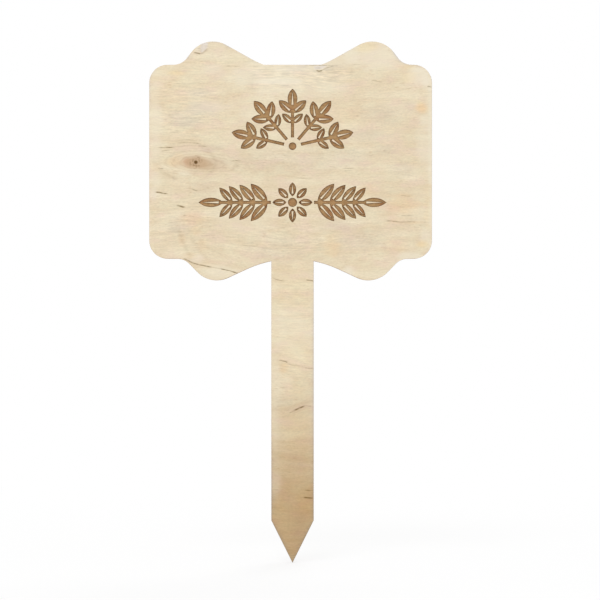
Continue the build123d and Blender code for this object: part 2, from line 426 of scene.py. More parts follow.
# Marks of the back face, in the manner of the front ones, on the same scale as seen from the front
BACK_MARKS = {
    "checks": (
        (((214, 101), (226, 102), (233, 101.5)), 0.45, 0.12, 0.60),
        (((356, 128), (366, 127.4), (379, 128.2)), 0.42, 0.10, 0.55),
        (((331, 232), (342, 233.2), (351, 233)), 0.45, 0.14, 0.70),
        (((188, 223), (199, 221.8), (211, 222.4)), 0.40, 0.10, 0.50),
        (((374, 205), (381, 205.9), (390, 205.5)), 0.38, 0.08, 0.42),
        (((276, 331), (284, 332.2), (290, 332)), 0.45, 0.14, 0.65),
        (((297, 441), (303, 440.2), (311, 440.9)), 0.42, 0.10, 0.55),
    ),
    "knots": (
        ((381, 187), (8.0, 4.4), (4.2, 15.0)),
        ((236, 132), (5.6, 3.0), (2.8, 11.0)),
    ),
    "slants": (((350, 250), (30, 14), -0.16), ((292, 380), (20, 14), 0.14)),
    "tears": (),
    "blush": (((330, 92), (30, 12), 0.60), ((196, 205), (22, 12), 0.50)),
    "amber": (((206, 88), (14, 6), 0.40),),
    "mineral": (((300, 175), (42, 20), 0.45), ((232, 232), (30, 12), 0.40)),
    "bleach": (((372, 56), (30, 16), 0.50), ((292, 330), (24, 30), 0.40)),
    "figure": (((250, 100), (90, 30), 0.36), ((360, 220), (60, 26), 0.24)),
    "scorch_and_shade": (((431, 160), (9, 130), 0.60), ((272, 450), (8, 110), 0.70)),
}


# Flat places


def on_board(pixel):
    """Flat place of a pixel of the photograph."""
    column, row = pixel
    return Vector(((column - CENTRE_COLUMN) * PIXEL_SIZE, (TIP_ROW - row) * PIXEL_SIZE))


def placed(marks):
    """The marks of a face with their pixels turned into flat places."""
    on_face = {}
    for kind, rows in marks.items():
        if kind in ("checks", "tears"):
            on_face[kind] = [([on_board(pixel) for pixel in run], *rest) for run, *rest in rows]
        else:
            on_face[kind] = [(on_board(middle), *rest) for middle, *rest in rows]
    return on_face


def smooth(low, high, value):
    """Share that runs smoothly from 0 to 1 as the value goes from low to high."""
    share = min(1.0, max(0.0, (value - low) / (high - low)))
    return share * share * (3 - 2 * share)


def ripples(x, y, length, width, seed):
    """Noise from -1 to 1 whose spots are this long and this wide, in millimetres."""
    return noise.noise((x / length, y / width, seed))


def in_radii(offset, radii):
    """A flat offset in shares of the radii along and across the grain."""
    return Vector((offset.x / radii[0], offset.y / radii[1]))


def around(corners):
    """Each corner of a closed loop with the next one."""
    return list(zip(corners, corners[1:] + corners[:1]))


def divided(start, end, step):
    """Places from start up to, but not at, the end, no further apart than the step."""
    count = max(1, ceil((end - start).length / step))
    return [start.lerp(end, part / count) for part in range(count)]


def beside(start, end, step, rows):
    """Places in rows beside a straight piece, each row this far to its left."""
    left = (end - start).normalized().orthogonal()
    return [place + left * row for place in divided(start, end, step) for row in rows]


def inset(outline, depth):
    """The outline's places moved inwards by the depth, with its corners kept sharp."""
    moved = []
    for before, here, after in zip(outline[-1:] + outline[:-1], outline, outline[1:] + outline[:1]):
        inward = (here - before).normalized().orthogonal()
        inward_after = (after - here).normalized().orthogonal()
        moved.append(here + (inward + inward_after) * (depth / (1 + inward.dot(inward_after))))
    return moved


def near_tree(places):
    """Search tree of flat places."""
    tree = KDTree(len(places))
    for index, place in enumerate(places):
        tree.insert((place[0], place[1], 0), index)
    tree.balance()
    return tree


def gap(tree, place):
    """Distance of a flat place from the nearest one in the tree."""
    return tree.find(place.to_3d())[2]


def flat_distance(place, start, end):
    """Distance of a flat place from a straight piece, and how far along that piece it lies."""
    share = intersect_point_line(place.to_3d(), start.to_3d(), end.to_3d())[1]
    share = min(1.0, max(0.0, share))
    return (place - start.lerp(end, share)).length, share


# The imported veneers


def merged_copy(node):
    """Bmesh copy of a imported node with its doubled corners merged."""
    bm = bmesh.new()
    bm.from_mesh(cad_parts[node].data)
    bmesh.ops.remove_doubles(bm, verts=bm.verts, dist=0.000001)
    return bm


def flat_rim(bm, height):
    """Ends of each edge round the faces that lie at this height of Y, as flat places."""
    flat = {
        face
        for face in bm.faces
        if all(abs(vert.co.y - height) < HEIGHT_MARGIN for vert in face.verts)
    }
    return [
        tuple((round(vert.co.x / MM, 5), round(vert.co.z / MM, 5)) for vert in edge.verts)
        for edge in bm.edges
        if sum(face in flat for face in edge.link_faces) == 1
    ]


def rim_loop(rim):
    """Corners of one closed rim in order, counter-clockwise as the front shows them."""
    neighbours = {}
    for start, end in rim:
        neighbours.setdefault(start, []).append(end)
        neighbours.setdefault(end, []).append(start)
    first = min(neighbours)
    loop = [first, neighbours[first][0]]
    while loop[-1] != first:
        loop.append(next(place for place in neighbours[loop[-1]] if place != loop[-2]))
    loop.pop()
    corners = [Vector(place) for place in loop]
    swept = sum(here.cross(after) for here, after in around(corners))
    return corners if swept > 0 else corners[::-1]


def board_outline(node, side):
    """Places along the outline of a face veneer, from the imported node's inner face."""
    low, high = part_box(node)
    inner = max(low.y, high.y) if side == FRONT else min(low.y, high.y)
    bm = merged_copy(node)
    corners = rim_loop(flat_rim(bm, inner))
    bm.free()
    return [
        place for start, end in around(corners) for place in divided(start, end, OUTLINE_STEP)
    ]


# Marks of the wood


def grain_place(place, marks):
    """Where a flat place lies along and across the grain, which waves and bends round knots."""
    along, across = place
    broad = ripples(along, across, 70, 34, 3.1)
    short = ripples(along, across, 24, 15, 7.7)
    across += WAVE_HEIGHT * (broad + 0.4 * short)
    bend = 0
    for middle, reach, fall in marks["slants"]:
        off = place - middle
        bend += fall * off.x * exp(-((off.x / reach[0]) ** 2) - (off.y / reach[1]) ** 2)
    for middle, _, (height, length) in marks["knots"]:
        off = place - middle
        lift = (height * exp(-((off.x / length) ** 2))) ** 2
        inside = off.y * off.y - lift
        turned = sqrt(inside) if inside > 0 else -0.6 * sqrt(-inside)
        fade = exp(-((off.y / (4 * height)) ** 2) - (off.x / (2 * length)) ** 2)
        bend += fade * ((turned if off.y > 0 else -turned) - off.y)
    return along, across + bend


def stain_strength(place, stains):
    """How strongly the stains colour a flat place, up to the strength of the strongest of them."""
    strength = 0
    for middle, radii, most in stains:
        reach = in_radii(place - middle, radii).length / PIXEL_SIZE
        ragged = reach + STAIN_RAGGED * ripples(*place, 6, 2.5, most * 9)
        strength = max(strength, most * (1 - smooth(*STAIN_FADE, ragged)))
    return strength


def knot_place(place, knots):
    """Flat place from the middle of the nearest knot, in shares of its stained wood's radii."""
    offsets = [in_radii(place - middle, radii) for middle, radii, _ in knots]
    return min(offsets, key=lambda offset: offset.length)


def check_shape(places, checks):
    """How dark and how deep the checks make each flat place."""
    tree = near_tree(places)
    dark = [0.0] * len(places)
    deep = [0.0] * len(places)
    for number, (run, width, depth, darkness) in enumerate(checks):
        total = sum((end - start).length for start, end in zip(run, run[1:]))
        walked = 0
        for start, end in zip(run, run[1:]):
            length = (end - start).length
            middle = start.lerp(end, 0.5).to_3d()
            for co, index, _ in tree.find_range(middle, length / 2 + 2 * width):
                distance, share = flat_distance(co.to_2d(), start, end)
                along = (walked + share * length) / total
                taper = smooth(*CHECK_TAPER, along) * smooth(*CHECK_TAPER, 1 - along)
                breaks = noise.noise((co.x / CHECK_BREAK_LENGTH, number, 0.5))
                slit = exp(-((2 * distance / width) ** 2)) * taper * (0.8 + 0.5 * breaks)
                dark[index] = max(dark[index], min(1.0, CHECK_GAIN * darkness * slit))
                deep[index] = max(deep[index], depth * slit)
            walked += length
    return dark, deep


def tear_strength(place, tears):
    """How far a flat place is inside a torn patch, from 0 to 1, and how deep the patch is there."""
    strength = deep = 0
    for corners, depth in tears:
        inside = False
        for start, end in around(corners):
            if (start.y > place.y) != (end.y > place.y):
                level = (place.y - start.y) * (end.x - start.x) / (end.y - start.y)
                inside = inside != (place.x < start.x + level)
        if inside:
            edge = min(flat_distance(place, start, end)[0] for start, end in around(corners))
            ragged = edge + TORN_RAGGED * ripples(*place, 0.8, 0.4, 2)
            share = smooth(0, TORN_FADE, ragged)
            strength = max(strength, share)
            deep = max(deep, depth * share)
    return strength, deep


def feature_places(marks):
    """Extra flat places that give the checks, knots and tears enough points to take their shape."""
    places = []
    for run, width, _, _ in marks["checks"]:
        rows = [width * row for row in CHECK_ROWS]
        for start, end in zip(run, run[1:]):
            places += beside(start, end, CHECK_STEP, rows)
    for middle, _, _ in marks["knots"]:
        for ring in range(1, KNOT_RINGS + 1):
            for turn in range(KNOT_TURNS):
                angle = 2 * pi * (turn + ring / 2) / KNOT_TURNS
                away = Vector((cos(angle), sin(angle))) * (KNOT_RING_STEP * ring)
                places.append(middle + away)
    for corners, _ in marks["tears"]:
        for start, end in around(corners):
            places += beside(start, end, TEAR_STEP, TEAR_ROWS)
    return places


# Face veneers


def outer_face(side):
    """Height of Y of the board's outer face on that side."""
    return cad_low.y if side == FRONT else cad_high.y


def surface_drop(caster, side, place):
    """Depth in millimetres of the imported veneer's surface under its face at a place, or None."""
    start = Vector((place[0] * MM, side, place[1] * MM))
    hit = caster.ray_cast(start, Vector((0, -side, 0)))[0]
    return None if hit is None else (side * outer_face(side) - side * hit.y) / MM


def grid_places(step_along, step_across, seed):
    """Staggered flat places over the board's box, each a little off its row."""
    low = Vector((cad_low.x, cad_low.z)) / MM
    high = Vector((cad_high.x, cad_high.z)) / MM
    places = []
    for row in range(floor((high.y - low.y) / step_across) + 1):
        stagger = step_along * (row % 2) / 2
        for column in range(floor((high.x - low.x) / step_along) + 1):
            shake = noise.noise((column * 3.7, row * 2.3, seed)) * GRID_SHAKE
            x = low.x + stagger + (column + shake) * step_along
            places.append(Vector((x, low.y + (row + shake / 2) * step_across)))
    return places


def face_places(caster, side, outline, pocket, marks, sizes):
    """Flat places that fill the face and the floors of its engraving, clear of every wall."""
    along = sizes.point_step_along / MM
    across = sizes.point_step_across / MM
    coarser = 1 if side == FRONT else BACK_COARSER
    outline_tree = near_tree(outline)
    pocket_tree = near_tree(pocket) if pocket else None
    places = []
    rings = [place for depth in RIM_RINGS for place in inset(outline, depth)]
    for place in rings + feature_places(marks):
        drop = surface_drop(caster, side, place)
        if drop is not None and gap(outline_tree, place) > FEATURE_TO_OUTLINE:
            places.append(place)
    for place in grid_places(along * coarser, across * coarser, seed=1.5):
        drop = surface_drop(caster, side, place)
        if drop is None or abs(drop) > FLAT_MARGIN or gap(outline_tree, place) < GRID_TO_OUTLINE:
            continue
        if pocket_tree is None or gap(pocket_tree, place) >= GRID_TO_WALL:
            places.append(place)
    if pocket_tree:
        for place in grid_places(along / FLOOR_GRID_FINER, across, seed=4.5):
            drop = surface_drop(caster, side, place)
            on_floor = drop is not None and drop > FLOOR_LEAST_DROP
            if on_floor and gap(pocket_tree, place) > FLOOR_TO_WALL:
                places.append(place)
    return places


def regions(triangles, lines, walls):
    """Which walls enclose each triangle: none, the outline, or the outline and an engraved wall."""
    shared = {tuple(sorted(line)): [] for line in lines}
    for number, corners in enumerate(triangles):
        for line in around(corners):
            shared[tuple(sorted(line))].append(number)
    enclosed = [None] * len(triangles)
    waiting = []
    for line, numbers in shared.items():
        if len(numbers) == 1:
            enclosed[numbers[0]] = walls.get(line, 0)
            waiting.append(numbers[0])
    while waiting:
        number = waiting.pop()
        for ends in around(triangles[number]):
            line = tuple(sorted(ends))
            for other in shared[line]:
                if enclosed[other] is None:
                    enclosed[other] = enclosed[number] ^ walls.get(line, 0)
                    waiting.append(other)
    return enclosed


def flat_net(outline, pocket_edges, free, squash):
    """Net of triangles over the outline that keeps the engraved walls and uses the free places."""
    places = list(outline)
    numbers = {}
    edges = around(list(range(len(outline))))
    for ends in pocket_edges:
        keys = [(round(end.x, 4), round(end.y, 4)) for end in ends]
        for key, end in zip(keys, ends):
            if key not in numbers:
                numbers[key] = len(places)
                places.append(end)
        edges.append(tuple(numbers[key] for key in keys))
    places += free
    flat = [Vector((place.x * squash, place.y)) for place in places]
    points, lines, triangles, sources, line_sources, _ = delaunay_2d_cdt(
        flat, edges, [], 0, 0.000001
    )
    walls = {
        tuple(sorted(line)): OUTLINE_WALL if source[0] < len(outline) else POCKET_WALL
        for line, source in zip(lines, line_sources)
        if source
    }
    points = [Vector((point.x / squash, point.y)) for point in points]
    return FlatNet(points, triangles, sources, walls, regions(triangles, lines, walls))


def triangles_in(net, region):
    """Triangles of the net that lie in a region."""
    return [corners for corners, found in zip(net.triangles, net.regions) if found == region]


def points_in(net, region):
    """Numbers of the points that the triangles of a region use, in order."""
    return sorted({index for corners in triangles_in(net, region) for index in corners})


class FaceDraft:
    """Points and faces of a veneer while it is built, and what its material reads at each point."""

    def __init__(self, name, side):
        self.name = name
        self.side = side
        self.places = []
        self.drops = []
        self.tones = {"check": [], "torn": []}
        self.faces = []
        self.slots = []

    def add_point(self, place, drop, check=0.0, torn=0.0):
        """Adds a flat place that lies this far below the face, and gives its number."""
        self.places.append(place)
        self.drops.append(drop)
        self.tones["check"].append(check)
        self.tones["torn"].append(torn)
        return len(self.places) - 1

    def add_face(self, corners, slot):
        """Adds a face whose corners run counter-clockwise as its side of the board shows them."""
        self.faces.append(corners if self.side == FRONT else corners[::-1])
        self.slots.append(slot)

    def finished(self):
        """Mesh of the draft, with its material slots and attributes."""
        face_y = outer_face(self.side)
        mesh = bpy.data.meshes.new(self.name)
        vertices = [
            (place.x * MM, face_y - self.side * drop * MM, place.y * MM)
            for place, drop in zip(self.places, self.drops)
        ]
        mesh.from_pydata(vertices, [], self.faces)
        mesh.polygons.foreach_set("material_index", self.slots)
        for kind, values in self.tones.items():
            wide = isinstance(values[0], tuple)
            written = mesh.attributes.new(kind, "FLOAT_VECTOR" if wide else "FLOAT", "POINT")
            flat = [part for value in values for part in value] if wide else values
            written.data.foreach_set("vector" if wide else "value", flat)
        return mesh


def add_surface(draft, net, marks, sizes):
    """Adds the net's points on the face, with the wood's relief, and gives their new numbers."""
    dark, deep = check_shape(net.points, marks["checks"])
    on_floor = set(points_in(net, ON_FLOOR))
    top = {}
    for index in points_in(net, ON_FACE):
        place = net.points[index]
        along, across = grain_place(place, marks)
        fibre = ripples(along, across, 9, 0.55, 5) + 0.5 * ripples(along, across, 3, 0.3, 9)
        torn, tear_depth = tear_strength(place, marks["tears"])
        rough = TORN_ROUGHNESS * torn * ripples(*place, 1.5, 0.35, 6)
        heart = knot_place(place, marks["knots"]).length / HEART_SHARE
        pit = HEART_DEPTH * exp(-(heart**2))
        drop = deep[index] + tear_depth + rough + pit + sizes.fibre_relief / MM * (fibre + 1)
        if index in on_floor:
            drop = 0
        top[index] = draft.add_point(place, max(0, drop), dark[index], torn)
    for corners in triangles_in(net, ON_FACE):
        draft.add_face([top[index] for index in corners], FACE_SLOT)
    return top


def add_engraving(draft, net, top, pocket, sizes):
    """Adds the rough floors of the engraving and their walls up to the face."""
    pocket_tree = near_tree(pocket)
    bottom = {}
    for index in points_in(net, ON_FLOOR):
        place = net.points[index]
        rise = sizes.floor_relief * smooth(0, FLOOR_FADE, gap(pocket_tree, place))
        drop = (sizes.engraving_depth - rise * (1 + ripples(*place, 0.9, 0.5, 8))) / MM
        bottom[index] = draft.add_point(place, drop)
    for corners in triangles_in(net, ON_FLOOR):
        draft.add_face([bottom[index] for index in corners], BURNT_SLOT)
        for start, end in around(corners):
            if tuple(sorted((start, end))) in net.walls:
                draft.add_face([bottom[end], bottom[start], top[start], top[end]], BURNT_SLOT)


def add_edge(draft, first_ring, outline, rows):
    """Adds the worn-off corner, the cut edge and the inner side of the veneer."""
    rings = [first_ring]
    for depth, drop in rows[1:]:
        share = 1 - drop / rows[-1][1]
        ring = []
        for above, place in zip(first_ring, inset(outline, depth)):
            sunk = drop + draft.drops[above] * share * CORNER_CARRY
            check, torn = draft.tones["check"][above], draft.tones["torn"][above]
            ring.append(draft.add_point(place, sunk, check, torn))
        rings.append(ring)
    for row, (ring, following) in enumerate(zip(rings, rings[1:])):
        slot = FACE_SLOT if row < CORNER_FACE_ROWS else EDGE_SLOT
        for number, after in around(list(range(len(outline)))):
            draft.add_face([ring[after], ring[number], following[number], following[after]], slot)
    inner = flat_net(outline, [], [], 1)
    for corners in triangles_in(inner, ON_FACE):
        draft.add_face([rings[-1][inner.sources[index][0]] for index in corners[::-1]], EDGE_SLOT)


def add_tones(draft, outline, pocket, marks):
    """Adds what the materials read: the run of the grain, stains, the rim's scorch and painted
    shade, and walls.
    """
    places, tones = draft.places, draft.tones
    tones["grain_mm"] = [
        (*grain_place(place, marks), drop) for place, drop in zip(places, draft.drops)
    ]
    tones["knot_place"] = [(*knot_place(place, marks["knots"]), 0) for place in places]
    for kind in (*STAINS, "figure"):
        tones[kind] = [stain_strength(place, marks[kind]) for place in places]
    outline_tree = near_tree(outline)
    # The rim's laser scorch and painted edge shade, fading away from the outline
    tones["rim"] = []
    for place in places:
        near = 1 - smooth(*SCORCH_AND_SHADE_FADE, gap(outline_tree, place))
        tones["rim"].append(near * stain_strength(place, marks["scorch_and_shade"]))
    if pocket:
        pocket_tree = near_tree(pocket)
        tones["wall_mm"] = [min(WALL_REACH, gap(pocket_tree, place)) for place in places]


def face_veneer(name, node, side, marks, sizes):
    """Mesh of a face veneer with its worn edge, its engraving and the relief of its wood."""
    bm = merged_copy(node)
    caster = BVHTree.FromBMesh(bm)
    pocket_edges = []
    for start, end in flat_rim(bm, outer_face(side) - side * sizes.engraving_depth):
        stops = divided(Vector(start), Vector(end), WALL_STEP) + [Vector(end)]
        pocket_edges += zip(stops, stops[1:])
    bm.free()
    pocket = [start for start, _ in pocket_edges]
    outline = board_outline(node, side)

    ease = sizes.edge_ease / MM
    turns = [radians(90) * turn / CORNER_TURNS for turn in range(CORNER_TURNS + 1)]
    rows = [(ease * (1 - sin(turn)), ease * (1 - cos(turn))) for turn in turns]
    rows.append((0, sizes.veneer_thickness / MM))

    free = face_places(caster, side, outline, pocket, marks, sizes)
    squash = sizes.point_step_across / sizes.point_step_along
    net = flat_net(inset(outline, rows[0][0]), pocket_edges, free, squash)
    draft = FaceDraft(name, side)
    top = add_surface(draft, net, marks, sizes)
    if pocket:
        add_engraving(draft, net, top, pocket, sizes)
    first_ring = [None] * len(outline)
    for index, source in enumerate(net.sources):
        for number in source:
            if number < len(outline):
                first_ring[number] = top[index]
    add_edge(draft, first_ring, outline, rows)
    add_tones(draft, outline, pocket, marks)
    return draft.finished()


# Node helpers


def feed(tree, socket, value):
    """Links an output to the socket, or sets the socket's own value."""
    if isinstance(value, bpy.types.NodeSocket):
        tree.links.new(value, socket)
    else:
        socket.default_value = value


def add_node(tree, kind, sockets=None, **settings):
    """Adds a node with its settings, and feeds the sockets that are named or numbered."""
    node = tree.nodes.new(kind)
    for name, value in settings.items():
        setattr(node, name, value)
    for key, value in (sockets or {}).items():
        feed(tree, node.inputs[key], value)
    return node


def maths(tree, operation, *values):
    """Output of a Math node."""
    return add_node(tree, "ShaderNodeMath", dict(enumerate(values)), operation=operation).outputs[0]


def ramp(tree, value, low, high, to_low=0.0, to_high=1.0):
    """Output that runs smoothly from to_low to to_high as the value goes from low to high."""
    sockets = {0: value, 1: low, 2: high, 3: to_low, 4: to_high}
    return add_node(tree, "ShaderNodeMapRange", sockets, interpolation_type="SMOOTHSTEP").outputs[0]


def mix(tree, share, base, other, blend_type="MIX"):
    """Output colour that goes from base to other with the share."""
    settings = {"data_type": "RGBA", "blend_type": blend_type}
    return add_node(tree, "ShaderNodeMix", {0: share, 6: base, 7: other}, **settings).outputs[2]


def scaled(tree, vector, factor):
    """Output vector or colour times the factor."""
    sockets = {0: vector, "Scale": factor}
    return add_node(tree, "ShaderNodeVectorMath", sockets, operation="SCALE").outputs[0]


def stretched(tree, vector, factors):
    """Output vector whose X, Y and Z are each times their own factor."""
    sockets = {0: vector, 1: factors}
    return add_node(tree, "ShaderNodeVectorMath", sockets, operation="MULTIPLY").outputs[0]


def parts_of(tree, vector):
    """Outputs for the X, Y and Z of a vector."""
    return add_node(tree, "ShaderNodeSeparateXYZ", {0: vector}).outputs


def object_place(tree):
    """Output for the shaded spot's place on its object, in metres."""
    return add_node(tree, "ShaderNodeTexCoord").outputs["Object"]


def attribute(tree, name, output="Fac"):
    """Output of one of the mesh's own attributes."""
    return add_node(tree, "ShaderNodeAttribute", attribute_name=name).outputs[output]


def streaks(tree, place, length, width, seed, detail=2.0, roughness=0.5):
    """Noise from 0 to 1 that is drawn out along the grain, with its sizes in millimetres."""
    spot = stretched(tree, place, (1 / length, 1 / width, 1 / width))
    sockets = {"Vector": spot, "W": seed, "Scale": 1.0, "Detail": detail, "Roughness": roughness}
    return add_node(tree, "ShaderNodeTexNoise", sockets, noise_dimensions="4D").outputs[0]


def blotches(tree, place, scale):
    """Noise from 0 to 1 with spots of one over the scale."""
    sockets = {"Vector": place, "Scale": scale, "Detail": 2.0}
    return add_node(tree, "ShaderNodeTexNoise", sockets).outputs[0]


def swing(tree, value, amount):
    """Factor round 1 that swings with a noise value by this amount."""
    return maths(tree, "MULTIPLY_ADD", maths(tree, "SUBTRACT", value, 0.5), amount, 1.0)


def swayed(tree, value, sway, amount):
    """The value moved up and down with a noise value by this amount."""
    shift = maths(tree, "MULTIPLY", maths(tree, "SUBTRACT", sway, 0.5), amount)
    return maths(tree, "ADD", value, shift)


def shown(red, green, blue):
    """Scene-linear colour of one given as the screen shows it, from 0 to 255."""
    linear = []
    for part in (red / 255, green / 255, blue / 255):
        linear.append(part / 12.92 if part <= 0.04045 else ((part + 0.055) / 1.055) ** 2.4)
    return (*linear, 1.0)


def shaded(colour, shade):
    """A colour made brighter or darker by the shade."""
    return (*(part * shade for part in colour[:3]), 1.0)


def new_group(name, inputs, outputs, kind="ShaderNodeTree"):
    """Node group with named sockets, the outputs of its inputs and the inputs of its outputs."""
    tree = bpy.data.node_groups.new(name, kind)
    for in_out, rows in (("INPUT", inputs), ("OUTPUT", outputs)):
        for socket_name, socket_kind, *value in rows:
            socket_type = "NodeSocket" + socket_kind
            socket = tree.interface.new_socket(socket_name, in_out=in_out, socket_type=socket_type)
            if value:
                socket.default_value = value[0]
    return tree, tree.nodes.new("NodeGroupInput").outputs, tree.nodes.new("NodeGroupOutput").inputs


def use_group(tree, name, sockets):
    """Places a node group, feeds its sockets and gives its outputs."""
    return add_node(tree, "ShaderNodeGroup", sockets, node_tree=bpy.data.node_groups[name]).outputs


# Shader groups

SURFACE_OUTPUTS = (("Colour", "Color"), ("Height", "Float"), ("Roughness", "Float"))

# Layers of noise in the birch: length along the grain and width across it in millimetres, then
# what is added to the seed, the detail and the roughness
GRAIN_LAYERS = {
    "bands": (48.0, 4.2, 0.0, 3.0, 0.55),
    "clouds": (21.0, 13.0, 11.0, 2.0, 0.5),
    "hues": (13.0, 6.5, 17.0, 2.0, 0.5),
    "lines": (6.5, 1.05, 29.0, 2.0, 0.6),
    "fibres": (10.0, 0.50, 23.0, 4.0, 0.62),
    "hairs": (4.0, 0.16, 37.0, 1.0, 0.5),
    "specks": (1.5, 0.75, 43.0, 1.0, 0.5),
    "pores": (3.6, 0.50, 51.0, 1.0, 0.5),
    "pore_patches": (22.0, 9.0, 67.0, 1.0, 0.5),
}

# Colours of the wood and its marks. A tint multiplies the colour that it lies on.
PLAIN_BIRCH = shown(230, 215, 188)
CREAMY_BIRCH = shown(233, 222, 191)
ROSY_BIRCH = shown(232, 209, 186)
PORE_TINT = shown(206, 178, 140)
KNOT_HALO = shown(217, 190, 160)
KNOT_STAIN = shown(194, 162, 126)
KNOT_BLUSH = shown(206, 160, 126)
KNOT_RING = shown(186, 158, 126)
KNOT_HUSK = shown(146, 112, 76)
KNOT_HEART = shown(104, 74, 30)
BLEACHED_BIRCH = shown(243, 234, 212)
TORN_BIRCH = shown(230, 220, 209)
# Brown of the open checks, also the painted shadow line along the step of the chip
OPEN_CHECK_AND_SHADOW_LINE = shown(114, 88, 28)
REDDISH_CHAR_TINT = shown(226, 176, 146)
# Tint of the rim: laser scorch and painted shade along the edge
SCORCH_AND_EDGE_SHADE_TINT = (0.78, 0.83, 0.98, 1.0)
STAIN_TINTS = (
    ("Mineral", (0.80, 0.79, 0.86, 1.0)),
    ("Blush", (1.00, 0.86, 0.73, 1.0)),
    ("Amber", (1.08, 0.97, 0.70, 1.0)),
)
STAIN_SHARE = 0.6


def birch_grain_group():
    """Pale birch: broad bands, a soft mottle, broken lines, fibres and short pores."""
    inputs = (
        ("Place", "Vector"),
        ("Seed", "Float", 0.0),
        ("Figure", "Float", 0.0),
        ("Pale Wood", "Color", shown(236, 223, 198)),
        ("Tan Wood", "Color", shown(222, 203, 172)),
        ("Line Contrast", "Float", 0.18),
        ("Fibre Contrast", "Float", 0.26),
        ("Speck Contrast", "Float", 0.24),
        ("Pore Strength", "Float", 0.40),
    )
    tree, given, out = new_group("Birch Grain", inputs, SURFACE_OUTPUTS)
    layers = {}
    for name, (length, width, shift, detail, roughness) in GRAIN_LAYERS.items():
        seed = maths(tree, "ADD", given["Seed"], shift)
        layers[name] = streaks(tree, given["Place"], length, width, seed, detail, roughness)
    bands, clouds, hues, fibres = (layers[name] for name in ("bands", "clouds", "hues", "fibres"))

    tan = given["Tan Wood"]
    colour = mix(tree, ramp(tree, bands, 0.32, 0.68, 0.16, 0.66), given["Pale Wood"], tan)
    colour = mix(tree, ramp(tree, clouds, 0.38, 0.66, 0.0, 0.5), colour, tan)
    colour = mix(tree, ramp(tree, hues, 0.34, 0.50, 0.50, 0.0), colour, CREAMY_BIRCH)
    colour = mix(tree, ramp(tree, hues, 0.50, 0.66, 0.0, 0.55), colour, ROSY_BIRCH)

    # The curved figure makes the fibres and the lines stand out
    fibre_gain = maths(tree, "MULTIPLY_ADD", given["Figure"], 3.2, 0.9)
    line_gain = maths(tree, "MULTIPLY_ADD", given["Figure"], 6.0, 1.0)
    factor = swing(tree, fibres, maths(tree, "MULTIPLY", given["Fibre Contrast"], fibre_gain))
    for name, contrast in (
        ("lines", maths(tree, "MULTIPLY", given["Line Contrast"], line_gain)),
        ("specks", given["Speck Contrast"]),
        ("hairs", given["Speck Contrast"]),
    ):
        factor = maths(tree, "MULTIPLY", factor, swing(tree, layers[name], contrast))
    colour = scaled(tree, colour, factor)

    porous = ramp(tree, layers["pore_patches"], 0.42, 0.62)
    pore = maths(tree, "MULTIPLY", ramp(tree, layers["pores"], 0.58, 0.74), porous)
    pore_share = maths(tree, "MULTIPLY", pore, given["Pore Strength"])
    height = maths(tree, "MULTIPLY_ADD", layers["hairs"], 0.35, fibres)
    feed(tree, out["Colour"], mix(tree, pore_share, colour, PORE_TINT, "MULTIPLY"))
    feed(tree, out["Height"], maths(tree, "MULTIPLY_ADD", pore, -0.8, height))
    feed(tree, out["Roughness"], ramp(tree, fibres, 0.3, 0.7, 0.52, 0.64))


def knot_reach(tree, along, across, left, right, fall):
    """Distance from a knot whose shape reaches further to the right and falls away there."""
    to_right = maths(tree, "MULTIPLY", along, right)
    sideways = maths(tree, "MAXIMUM", to_right, maths(tree, "MULTIPLY", along, -left))
    upward = maths(tree, "MULTIPLY_ADD", maths(tree, "MAXIMUM", along, 0.0), fall, across)
    upward = maths(tree, "MULTIPLY", upward, upward)
    return maths(tree, "SQRT", maths(tree, "MULTIPLY_ADD", sideways, sideways, upward))


def knot_layers(tree, wood, place, knot_place):
    """Colour of the wood with its knots, and the mask of their hearts."""
    along, across, _ = parts_of(tree, knot_place)
    ragged = streaks(tree, place, 5.0, 1.6, 5.0, 3.0)
    flakes = streaks(tree, place, 1.5, 1.0, 8.0, 2.0)
    halo, stain, heart = (
        maths(tree, "MULTIPLY", knot_reach(tree, along, across, *shape), swing(tree, ragged, rough))
        for shape, rough in (
            ((0.75, 0.42, 0.20), 0.5),
            ((1.0, 0.72, 0.45), 0.6),
            ((2.0, 2.0, 0.0), 0.3),
        )
    )
    blush = ramp(tree, along, -0.9, -0.2, 0.75, 0.0)
    blush = maths(tree, "MULTIPLY", blush, ramp(tree, stain, 0.5, 1.0, 1.0, 0.0))
    rings = ramp(tree, maths(tree, "SINE", maths(tree, "MULTIPLY", halo, 19.0)), 0.2, 1.0)
    rings = maths(tree, "MULTIPLY", ramp(tree, halo, 0.7, 2.4, 0.24, 0.0), rings)
    husk = ramp(tree, heart, 0.62, 0.95, 1.0, 0.0)
    husk = maths(tree, "MULTIPLY", ramp(tree, heart, 0.28, 0.42), husk)
    husk = maths(tree, "MULTIPLY", husk, ramp(tree, flakes, 0.46, 0.60, 0.0, 0.55))
    core = ramp(tree, heart, 0.12, 0.34, 1.0, 0.0)
    colour = wood
    for share, layer in (
        (ramp(tree, halo, 0.40, 1.15, 0.50, 0.0), KNOT_HALO),
        (ramp(tree, stain, 0.36, 1.10, 0.74, 0.0), KNOT_STAIN),
        (blush, KNOT_BLUSH),
        (rings, KNOT_RING),
        (husk, KNOT_HUSK),
        (core, KNOT_HEART),
    ):
        colour = mix(tree, share, colour, layer)
    return colour, core


